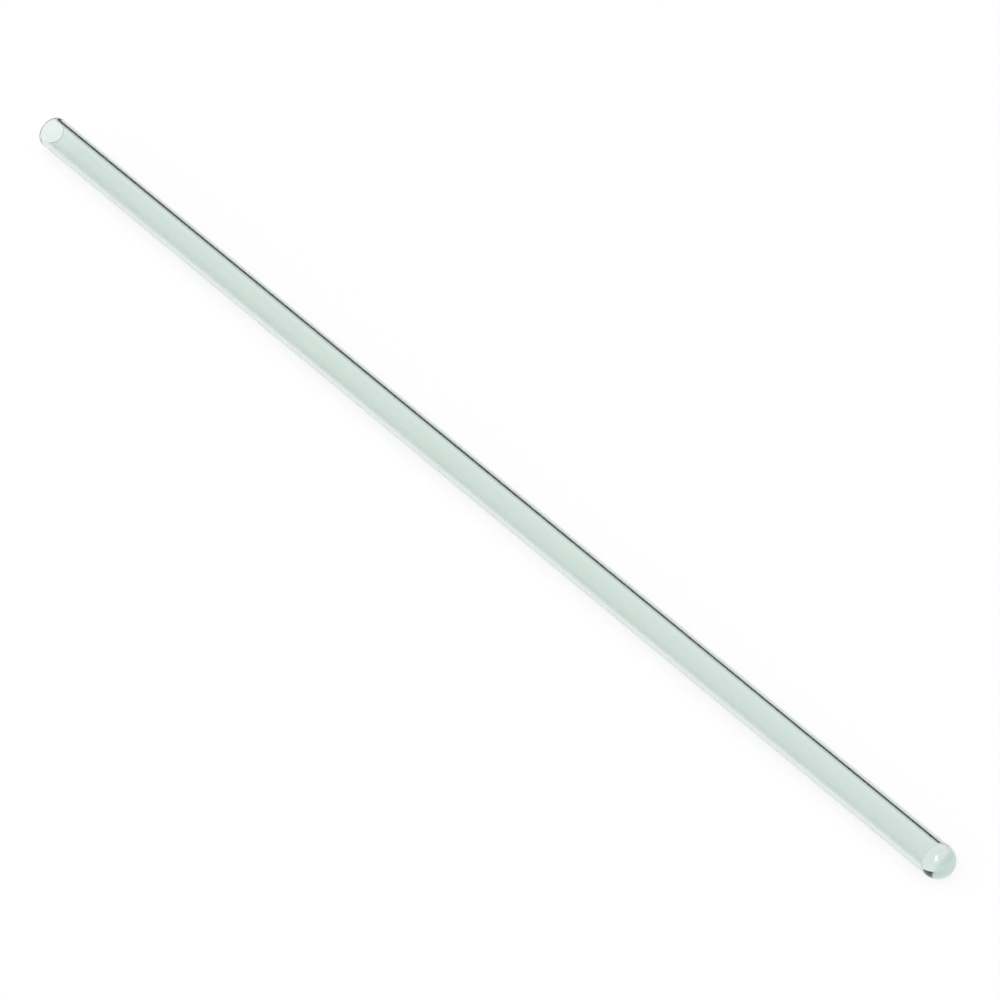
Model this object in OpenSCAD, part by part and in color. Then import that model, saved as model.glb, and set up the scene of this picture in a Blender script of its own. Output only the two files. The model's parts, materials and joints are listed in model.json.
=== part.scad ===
// Melting point capillary tube, closed at one end: one piece of drawn, flame sealed glass.
// It lies along X, with the origin on its axis at mid-length. The sealed tip is at +X and
// the open mouth at -X, so the bore runs in along +X.

/* [Tube] */
// Length over all, from the mouth to the outside of the sealed tip
tube_length = 100; // [40:1:200]
// Outside diameter of the drawn tube, and of the rounded tip
outer_d = 2; // [1.2:0.1:6]
// Thickness of the drawn wall, which leaves the bore inside the outside diameter
wall = 0.25; // [0.1:0.01:0.5]

/* [Sealed tip] */
// Solid glass between the bore's flat end and the start of the rounded tip
plug_length = 0.15; // [0:0.05:3]
// Radius of the melted corner where the bore's wall meets its flat end
bore_corner_r = 0.1; // [0.02:0.01:0.3]

/* [Open mouth] */
// Radius that the flame left on the two cut edges of the mouth
lip_r = 0.06; // [0.01:0.01:0.12]

/* [Hidden] */
$fn = 96;
outer_r = outer_d / 2;
bore_r = outer_r - wall;
// The tip is half a ball of the tube's own diameter, and the bore stops short of it.
dome_start = tube_length - outer_r;
bore_end = dome_start - plug_length;
// The most of its room that a melted round may take: half the wall at the mouth's edges,
// and the bore's radius at its corner.
room_share = 0.96;
lip = min(lip_r, room_share * wall / 2);
corner = min(bore_corner_r, room_share * bore_r);
// How far the bore's cutter stands out of the mouth
cutter_run_out = 1;
clear_glass = [0.83, 0.91, 0.88, 0.5];

// Half of each section is drawn beside the axis: x is the radius, and y runs along the
// axis from the mouth.
module outer_section() {
    square([outer_r, dome_start]);
    translate([0, dome_start])
        intersection() {
            circle(r = outer_r);
            square([outer_r, outer_r]);
        }
}

module bore_section() {
    translate([0, -cutter_run_out]) square([bore_r, bore_end - corner + cutter_run_out]);
    translate([bore_r - corner, bore_end - corner]) circle(r = corner);
    square([bore_r - corner, bore_end]);
}

// What the flame took off one cut edge of the mouth: a square corner less a quarter round.
// side is 1 at the outside edge and -1 at the bore's.
module melted_edge(r, side) {
    difference() {
        translate([side > 0 ? r - lip : r, 0]) square([lip, lip]);
        translate([r - side * lip, lip]) circle(r = lip);
    }
}

module glass_section() {
    difference() {
        outer_section();
        bore_section();
        melted_edge(outer_r, 1);
        melted_edge(bore_r, -1);
    }
}

module capillary_tube() {
    color(clear_glass)
        translate([-tube_length / 2, 0, 0])
            rotate([0, 90, 0])
                rotate_extrude() glass_section();
}

capillary_tube();
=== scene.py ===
"""A melting point capillary tube of clear drawn glass, lying on a white light table.

The glass is one closed surface: a section revolved about the tube's axis by Geometry Nodes.
It takes the place of the plain CAD tube, at the same size.
"""

import json
from math import cos, pi, radians, sin

import bmesh
import bpy
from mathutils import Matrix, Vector


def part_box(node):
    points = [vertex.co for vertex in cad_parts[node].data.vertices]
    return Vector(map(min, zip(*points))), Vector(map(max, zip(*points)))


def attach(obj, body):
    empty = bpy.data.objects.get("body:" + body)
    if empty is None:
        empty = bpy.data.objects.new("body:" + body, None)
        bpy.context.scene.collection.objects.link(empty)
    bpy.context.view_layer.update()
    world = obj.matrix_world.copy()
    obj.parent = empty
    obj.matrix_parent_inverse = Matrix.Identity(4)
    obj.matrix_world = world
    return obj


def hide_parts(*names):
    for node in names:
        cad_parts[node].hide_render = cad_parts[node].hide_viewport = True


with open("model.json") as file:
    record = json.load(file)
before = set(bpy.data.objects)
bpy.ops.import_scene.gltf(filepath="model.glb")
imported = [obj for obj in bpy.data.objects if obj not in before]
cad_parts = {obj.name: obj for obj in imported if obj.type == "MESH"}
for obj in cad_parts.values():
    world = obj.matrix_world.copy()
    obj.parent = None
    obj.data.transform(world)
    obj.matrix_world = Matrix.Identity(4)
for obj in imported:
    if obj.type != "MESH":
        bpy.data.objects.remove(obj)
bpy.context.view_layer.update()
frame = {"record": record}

MM = 0.001

# ---------------------------------------------------------------- the tube's sizes
TUBE = "capillary_tube"
tube_low, tube_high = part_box(TUBE)
MOUNTS = {mount["name"]: mount for mount in frame["record"]["mounts"]}
OUTER_R = MOUNTS["outside"]["dims"]["r_mm"] * MM
BORE_R = MOUNTS["bore"]["dims"]["r_mm"] * MM
# Solid glass between the bore's flat end and the start of the rounded tip
PLUG_LENGTH = 0.15 * MM
BORE_CORNER_R = 0.1 * MM
LIP_R = 0.06 * MM

# Drawing leaves a slow change in the tube's girth, as a share of its radius.
DRAW_SWELL = 0.006
DRAW_SWELL_LENGTH = 9.0 * MM
DRAW_SWELL_DETAIL = 2.0

# How finely the section and its turn are cut. Along a straight wall the rings stand about a
# station apart. Where a wall or the bore's flat end runs into an arc, a ring stands an ease away.
TURN_STEPS = 144
DOME_STEPS = 36
BORE_END_RINGS = 6
CORNER_STEPS = 12
LIP_STEPS = 8
STATION = 1.0 * MM
EASE = 0.06 * MM
SEAM_GAP = 0.001 * MM

# ---------------------------------------------------------------- the glass's finish
GLASS_IOR = 1.48
# The surface tint colours light at each face that it goes through, and the body tint along
# its way in the glass, so the solid tip is deeper in colour than the wall.
SURFACE_TINT = "#ECF3F0"
BODY_TINT = "#AACEC5"
BODY_TINT_DENSITY = 170.0
# Real draw lines are a few hundredths of a millimetre apart: these are as coarse as they
# need to be to show. The pattern sees only a small share of the way along the tube, the
# stretch, which draws it out into lines.
DRAW_LINE_PITCH = 0.16 * MM
DRAW_LINE_STRETCH = 0.004
DRAW_LINE_DEPTH = 0.0006 * MM
DRAW_LINE_DETAIL = 2.0
HAZE_PATCH = 3.0 * MM
HAZE_DETAIL = 4.0
HAZE_START, HAZE_FULL = 0.5, 0.8
CLEAN_ROUGHNESS = 0.0
HAZE_ROUGHNESS = 0.03

# ---------------------------------------------------------------- the studio
TABLE_HALF = 4.0
# What the sheet throws back of the room's light and its own glow add up to white.
TABLE_COLOUR = "#6F6F6F"
TABLE_GLOW = 0.82
TABLE_ROUGHNESS = 0.9

# The ceiling is one broad soft light. It comes down lower on one side of the room than on
# the other, and below its edge the room is dark.
DARK_SIDE = radians(85)
CEILING_LEAN = radians(22)
DARK_TOP = radians(12)
CEILING_EDGE = radians(22)
DARK_LEVEL = 0.02
CEILING_LEVEL = 1.06

# How far the lamp stands above and left of the line to the camera, as a share of that line
LAMP_UP, LAMP_LEFT = 0.12, 0.18
LAMP_DISTANCE = 0.9
LAMP_SIZE = 0.22
LAMP_WATTS = 1.8

CAMERA_AZIMUTH = radians(59.5)
CAMERA_ELEVATION = radians(29.0)
CAMERA_DISTANCE = 0.57
CAMERA_NEAR = 0.01
SENSOR = 36.0
# Width of what the camera takes in at the point it aims at, a little nearer the tip than
# mid-length
FRAME_WIDTH = 56.5 * MM
AIM_AHEAD = 3.2 * MM

TOWARDS_CAMERA = Vector((sin(CAMERA_AZIMUTH) * cos(CAMERA_ELEVATION),
                         -cos(CAMERA_AZIMUTH) * cos(CAMERA_ELEVATION),
                         sin(CAMERA_ELEVATION)))
VIEW_RIGHT = Vector((cos(CAMERA_AZIMUTH), sin(CAMERA_AZIMUTH), 0))
VIEW_UP = TOWARDS_CAMERA.cross(VIEW_RIGHT)

# Light goes through many faces of the glass before it comes out.
LIGHT_BOUNCES = 24


# ---------------------------------------------------------------- small helpers
def add(tree, kind, inputs=None, **settings):
    """Adds a node: settings are its properties, and inputs are linked or filled with a value."""
    node = tree.nodes.new(kind)
    for name, value in settings.items():
        setattr(node, name, value)
    for socket, value in (inputs or {}).items():
        if isinstance(value, bpy.types.NodeSocket):
            tree.links.new(value, node.inputs[socket])
        else:
            node.inputs[socket].default_value = value
    return node


def colour(hex_code):
    """Linear red, green, blue and alpha of an sRGB hex colour."""
    def linear(level):
        return level / 12.92 if level <= 0.04045 else ((level + 0.055) / 1.055) ** 2.4
    levels = [int(hex_code[i:i + 2], 16) / 255 for i in (1, 3, 5)]
    return [linear(level) for level in levels] + [1.0]


def empty_material(name):
    """A node material with nothing in it yet."""
    material = bpy.data.materials.new(name)
    material.use_nodes = True
    material.node_tree.nodes.clear()
    return material


def place(thing):
    """Puts an object in the scene."""
    bpy.context.scene.collection.objects.link(thing)
    return thing


# ---------------------------------------------------------------- the shape of the glass
def arc(centre_x, centre_r, radius, start, stop, steps):
    """Points (x, r) round an arc: angle 0 points along +X, and a quarter turn away from the axis."""
    angles = [start + (stop - start) * i / steps for i in range(steps + 1)]
    return [(centre_x + radius * cos(a), centre_r + radius * sin(a)) for a in angles]


def straight(start_x, stop_x, r):
    """Points (x, r) between two arcs: one close to each end, and the rest a station apart."""
    way = 1 if stop_x > start_x else -1
    first, last = start_x + way * EASE, stop_x - way * EASE
    count = round(abs(last - first) / STATION)
    return [(first + (last - first) * i / count, r) for i in range(count + 1)]


def tube_section():
    """The glass in section, from the tip's outside pole round the mouth to the bore's end."""
    dome_x = tube_high.x - OUTER_R
    bore_end = dome_x - PLUG_LENGTH
    corner_x = bore_end - BORE_CORNER_R
    corner_r = BORE_R - BORE_CORNER_R
    lip_x = tube_low.x + LIP_R

    section = arc(dome_x, 0, OUTER_R, 0, pi / 2, DOME_STEPS)
    section += straight(dome_x, lip_x, OUTER_R)
    section += arc(lip_x, OUTER_R - LIP_R, LIP_R, pi / 2, pi, LIP_STEPS)
    section += arc(lip_x, BORE_R + LIP_R, LIP_R, pi, 3 * pi / 2, LIP_STEPS)
    section += straight(lip_x, corner_x, BORE_R)
    section += arc(corner_x, corner_r, BORE_CORNER_R, pi / 2, 0, CORNER_STEPS)
    section += [(bore_end, (corner_r - EASE) * i / BORE_END_RINGS)
                for i in range(BORE_END_RINGS, -1, -1)]
    return section


def revolving_tree(material):
    """Geometry Nodes that turn a chain of points (x, r) about the X axis into a closed surface."""
    tree = bpy.data.node_groups.new("revolve_section", "GeometryNodeTree")
    sockets = {"Section": "Geometry", "Turn steps": "Int", "Section points": "Int",
               "Swell": "Float", "Swell length": "Float", "Seam gap": "Float"}
    for name, kind in sockets.items():
        tree.interface.new_socket(name, in_out="INPUT", socket_type="NodeSocket" + kind)
    tree.interface.new_socket("Glass", in_out="OUTPUT", socket_type="NodeSocketGeometry")
    given = add(tree, "NodeGroupInput").outputs

    def maths(operation, a, b=0.0):
        return add(tree, "ShaderNodeMath", {0: a, 1: b}, operation=operation).outputs[0]

    # A flat grid one unit across: its width becomes the turn, and its height the section.
    grid = add(tree, "GeometryNodeMeshGrid", {
        "Size X": 1.0, "Size Y": 1.0, "Vertices X": maths("ADD", given["Turn steps"], 1.0),
        "Vertices Y": given["Section points"]})
    position = add(tree, "GeometryNodeInputPosition").outputs[0]
    flat = add(tree, "ShaderNodeSeparateXYZ", {0: position}).outputs
    turn = maths("MULTIPLY", flat["X"], 2 * pi)
    last = maths("SUBTRACT", given["Section points"], 1.0)
    index = maths("ROUND", maths("MULTIPLY", maths("ADD", flat["Y"], 0.5), last))
    point = add(tree, "GeometryNodeSampleIndex", {
        "Geometry": given["Section"], "Value": position, "Index": index},
        data_type="FLOAT_VECTOR", domain="POINT").outputs[0]
    section = add(tree, "ShaderNodeSeparateXYZ", {0: point}).outputs

    # The girth only ever falls below its nominal size.
    along = maths("DIVIDE", section["X"], given["Swell length"])
    swell = add(tree, "ShaderNodeTexNoise", {
        "W": along, "Scale": 1.0, "Detail": DRAW_SWELL_DETAIL}, noise_dimensions="1D").outputs[0]
    girth = maths("SUBTRACT", 1.0, maths("MULTIPLY", swell, given["Swell"]))
    r = maths("MULTIPLY", section["Y"], girth)
    where = add(tree, "ShaderNodeCombineXYZ", {
        "X": section["X"],
        "Y": maths("MULTIPLY", r, maths("COSINE", turn)),
        "Z": maths("MULTIPLY", r, maths("SINE", turn))}).outputs[0]
    turned = add(tree, "GeometryNodeSetPosition", {
        "Geometry": grid.outputs["Mesh"], "Position": where}).outputs[0]
    closed = add(tree, "GeometryNodeMergeByDistance", {
        "Geometry": turned, "Distance": given["Seam gap"]}).outputs[0]
    smooth = add(tree, "GeometryNodeSetShadeSmooth", {"Geometry": closed}).outputs[0]
    real = add(tree, "GeometryNodeRealizeInstances", {"Geometry": smooth}).outputs[0]
    finished = add(tree, "GeometryNodeSetMaterial", {
        "Geometry": real, "Material": material}).outputs[0]
    add(tree, "NodeGroupOutput", {"Glass": finished})
    return tree


def face_outwards(mesh):
    """Turns every face of a closed mesh outwards."""
    work = bmesh.new()
    work.from_mesh(mesh)
    bmesh.ops.recalc_face_normals(work, faces=work.faces)
    if work.calc_volume(signed=True) < 0:
        bmesh.ops.reverse_faces(work, faces=work.faces)
    work.to_mesh(mesh)
    work.free()


def glass_tube(material):
    """The whole tube as one mesh: the section, revolved and made plain."""
    points = tube_section()
    chain = bpy.data.meshes.new("tube_section")
    edges = [(i, i + 1) for i in range(len(points) - 1)]
    chain.from_pydata([(x, r, 0) for x, r in points], edges, [])
    holder = place(bpy.data.objects.new("tube_section", chain))
    revolve = holder.modifiers.new("revolve", "NODES")
    revolve.node_group = revolving_tree(material)
    sizes = {"Turn steps": TURN_STEPS, "Section points": len(points), "Swell": DRAW_SWELL,
             "Swell length": DRAW_SWELL_LENGTH, "Seam gap": SEAM_GAP}
    for item in revolve.node_group.interface.items_tree:
        if item.name in sizes:
            revolve[item.identifier] = sizes[item.name]
    evaluated = holder.evaluated_get(bpy.context.evaluated_depsgraph_get())
    mesh = bpy.data.meshes.new_from_object(evaluated)
    bpy.data.objects.remove(holder)
    mesh.name = "drawn_glass_tube"
    face_outwards(mesh)
    return place(bpy.data.objects.new("drawn_glass_tube", mesh))


# ---------------------------------------------------------------- materials
def drawn_glass():
    """Borosilicate glass, drawn hot from the furnace and sealed in a flame.

    Its skin never touched a tool, so it is bright and clear all over. What the eye gets is a
    faint grey green cast, which deepens in the solid tip, long fine streaks where the draw
    lines bend the light, and highlights that soften a little where fingers left a haze.
    """
    material = empty_material("clear_drawn_borosilicate_glass")
    tree = material.node_tree
    surface = add(tree, "ShaderNodeTexCoord").outputs["Object"]

    # Draw lines run the whole length of the wall, so their pattern is stretched along X.
    lines = add(tree, "ShaderNodeMapping", {
        "Vector": surface, "Scale": (DRAW_LINE_STRETCH, 1.0, 1.0)}).outputs[0]
    drawn = add(tree, "ShaderNodeTexNoise", {
        "Vector": lines, "Scale": 1 / DRAW_LINE_PITCH, "Detail": DRAW_LINE_DETAIL}).outputs[0]
    draw_bump = add(tree, "ShaderNodeBump", {
        "Height": drawn, "Strength": 1.0, "Distance": DRAW_LINE_DEPTH}).outputs[0]

    haze = add(tree, "ShaderNodeTexNoise", {
        "Vector": surface, "Scale": 1 / HAZE_PATCH, "Detail": HAZE_DETAIL}).outputs[0]
    roughness = add(tree, "ShaderNodeMapRange", {
        "Value": haze, "From Min": HAZE_START, "From Max": HAZE_FULL,
        "To Min": CLEAN_ROUGHNESS, "To Max": HAZE_ROUGHNESS}).outputs[0]

    glass = add(tree, "ShaderNodeBsdfPrincipled", {
        "Base Color": colour(SURFACE_TINT), "Roughness": roughness, "IOR": GLASS_IOR,
        "Transmission Weight": 1.0, "Normal": draw_bump})
    body = add(tree, "ShaderNodeVolumeAbsorption", {
        "Color": colour(BODY_TINT), "Density": BODY_TINT_DENSITY})
    add(tree, "ShaderNodeOutputMaterial", {
        "Surface": glass.outputs[0], "Volume": body.outputs[0]})
    return material


def opal_acrylic():
    """Cast opal acrylic, lit evenly from below: a plain white with only a soft shadow on it."""
    material = empty_material("cast_opal_acrylic")
    tree = material.node_tree
    sheet = add(tree, "ShaderNodeBsdfPrincipled", {
        "Base Color": colour(TABLE_COLOUR), "Roughness": TABLE_ROUGHNESS,
        "Emission Color": colour("#FFFFFF"), "Emission Strength": TABLE_GLOW})
    add(tree, "ShaderNodeOutputMaterial", {"Surface": sheet.outputs[0]})
    return material


# ---------------------------------------------------------------- the studio's things
def light_table(material):
    """The plain top that the tube lies on, as high as the tube's underside."""
    half, height = TABLE_HALF, tube_low.z
    corners = [(-half, -half, height), (half, -half, height),
               (half, half, height), (-half, half, height)]
    mesh = bpy.data.meshes.new("light_table")
    mesh.from_pydata(corners, [], [(0, 1, 2, 3)])
    mesh.materials.append(material)
    return place(bpy.data.objects.new("light_table", mesh))


def room_light():
    """Soft light from the whole ceiling, over a room that is dark round the horizon."""
    world = bpy.data.worlds.new("studio")
    bpy.context.scene.world = world
    world.use_nodes = True
    tree = world.node_tree
    tree.nodes.clear()
    direction = add(tree, "ShaderNodeTexCoord").outputs["Generated"]
    ceiling_middle = (-sin(CEILING_LEAN) * cos(DARK_SIDE),
                      -sin(CEILING_LEAN) * sin(DARK_SIDE),
                      cos(CEILING_LEAN))
    height = add(tree, "ShaderNodeVectorMath", {0: direction, 1: ceiling_middle},
                 operation="DOT_PRODUCT").outputs["Value"]
    level = add(tree, "ShaderNodeMapRange", {
        "Value": height, "From Min": sin(DARK_TOP), "From Max": sin(CEILING_EDGE),
        "To Min": DARK_LEVEL, "To Max": CEILING_LEVEL}, interpolation_type="SMOOTHSTEP").outputs[0]
    light = add(tree, "ShaderNodeBackground", {"Strength": level, "Color": colour("#FFFFFF")})
    add(tree, "ShaderNodeOutputWorld", {"Surface": light.outputs[0]})


def front_lamp():
    """A small soft lamp beside the camera, which gives the tip its bright dot."""
    towards = TOWARDS_CAMERA + LAMP_UP * VIEW_UP - LAMP_LEFT * VIEW_RIGHT
    data = bpy.data.lights.new("front_lamp", "AREA")
    data.size = LAMP_SIZE
    data.energy = LAMP_WATTS
    lamp = place(bpy.data.objects.new("front_lamp", data))
    lamp.location = towards.normalized() * LAMP_DISTANCE
    lamp.rotation_euler = towards.to_track_quat("Z", "Y").to_euler()


def camera():
    """Looks along the tube from its sealed end and from above, from far enough to fit it all."""
    data = bpy.data.cameras.new("camera")
    data.sensor_width = SENSOR
    data.lens = SENSOR * CAMERA_DISTANCE / FRAME_WIDTH
    data.clip_start = CAMERA_NEAR
    thing = place(bpy.data.objects.new("camera", data))
    thing.location = Vector((AIM_AHEAD, 0, 0)) + TOWARDS_CAMERA * CAMERA_DISTANCE
    thing.rotation_euler = TOWARDS_CAMERA.to_track_quat("Z", "Y").to_euler()
    bpy.context.scene.camera = thing


# ---------------------------------------------------------------- putting it together
camera()
room_light()
front_lamp()
light_table(opal_acrylic())

tube = glass_tube(drawn_glass())
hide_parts(TUBE)
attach(tube, "root")

scene = bpy.context.scene
scene.view_settings.view_transform = "Standard"
scene.cycles.max_bounces = LIGHT_BOUNCES
scene.cycles.transmission_bounces = LIGHT_BOUNCES
